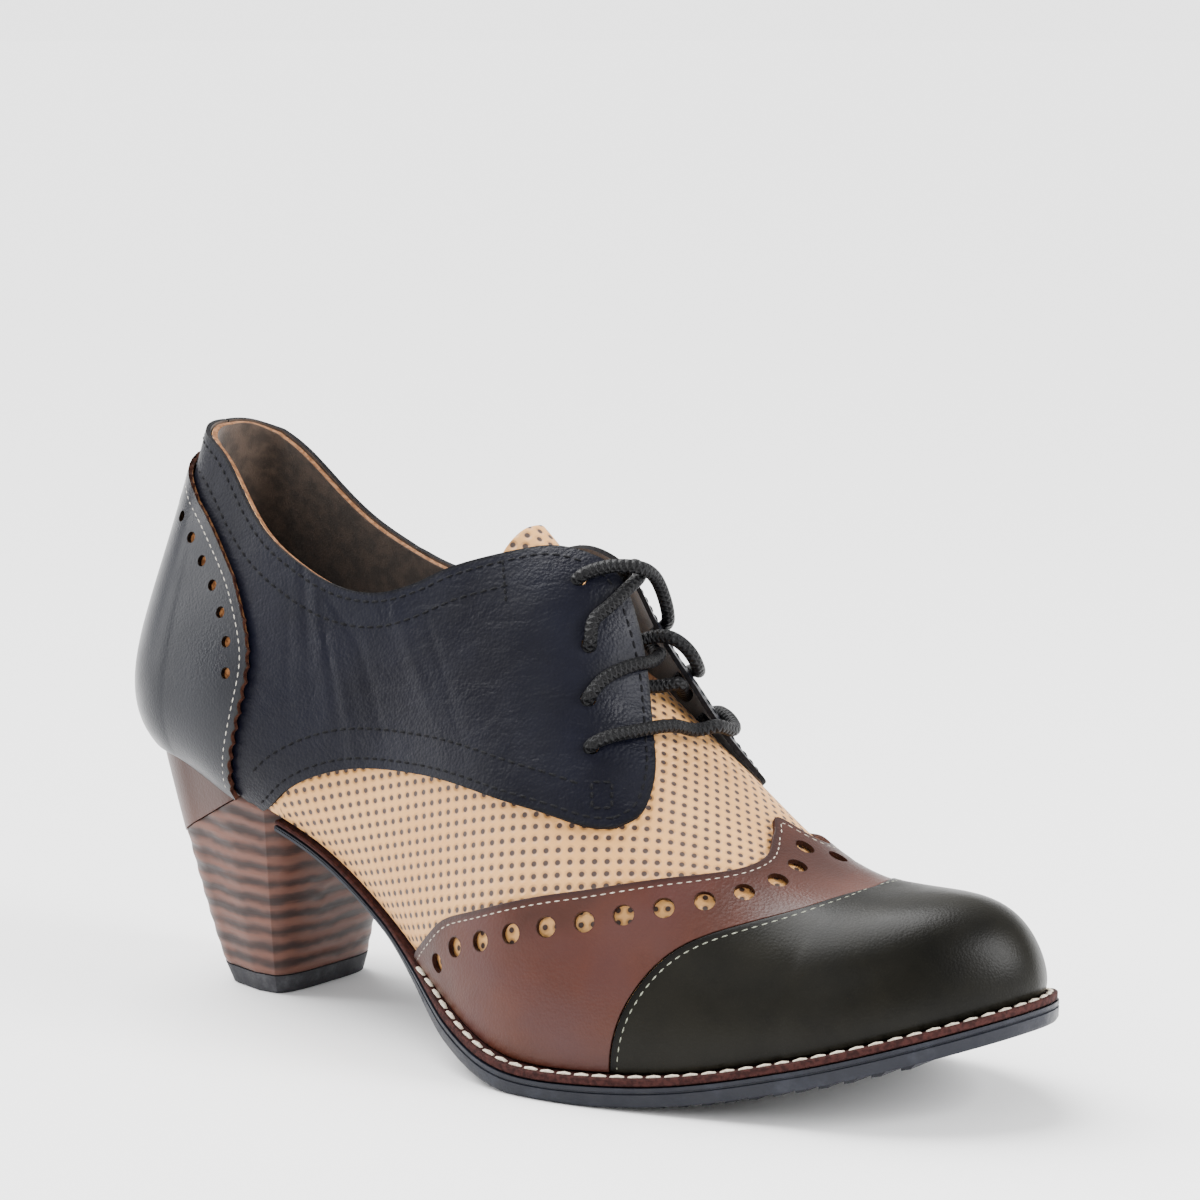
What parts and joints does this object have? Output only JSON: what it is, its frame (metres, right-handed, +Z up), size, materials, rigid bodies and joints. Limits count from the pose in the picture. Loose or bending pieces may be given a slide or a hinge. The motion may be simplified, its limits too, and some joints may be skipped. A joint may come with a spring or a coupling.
{
  "type": "heeled lace-up shoe",
  "caption": "Woman's low-cut heeled lace-up shoe for the right foot: hollow leather upper with wing tip and toe cap, curved sole, stacked heel.",
  "frame": {"origin": "on the floor under the middle of the shoe's box", "axes": "+Z up from the floor, +X towards the toe, -Y towards the outer side of the foot"},
  "size_m": [0.2585, 0.0942, 0.1404],
  "materials": {
    "upper": "matte, punched with a fine grid",
    "wing_tip": "burnished",
    "toe_cap": "polished",
    "quarter_lateral": "grained",
    "quarter_medial": "grained",
    "counter": "polished",
    "tongue": "matte, punched with a fine grid",
    "lace_top": "braided cord",
    "lace_middle": "braided cord",
    "lace_bottom": "braided cord",
    "insole": "matte",
    "welt": "matte",
    "outsole": "satin",
    "heel_stack": "stacked layers, satin",
    "heel_wrap": "satin",
    "top_lift": "matte"
  },
  "bodies": {
    "root": {"upper": "upper", "wing_tip": "wing_tip", "toe_cap": "toe_cap", "quarter_lateral": "quarter_lateral", "quarter_medial": "quarter_medial", "counter": "counter", "tongue": "tongue", "lace_top": "lace_top", "lace_middle": "lace_middle", "lace_bottom": "lace_bottom", "insole": "insole", "welt": "welt", "outsole": "outsole", "heel_stack": "heel_stack", "heel_wrap": "heel_wrap", "top_lift": "top_lift"}
  },
  "joints": []
}
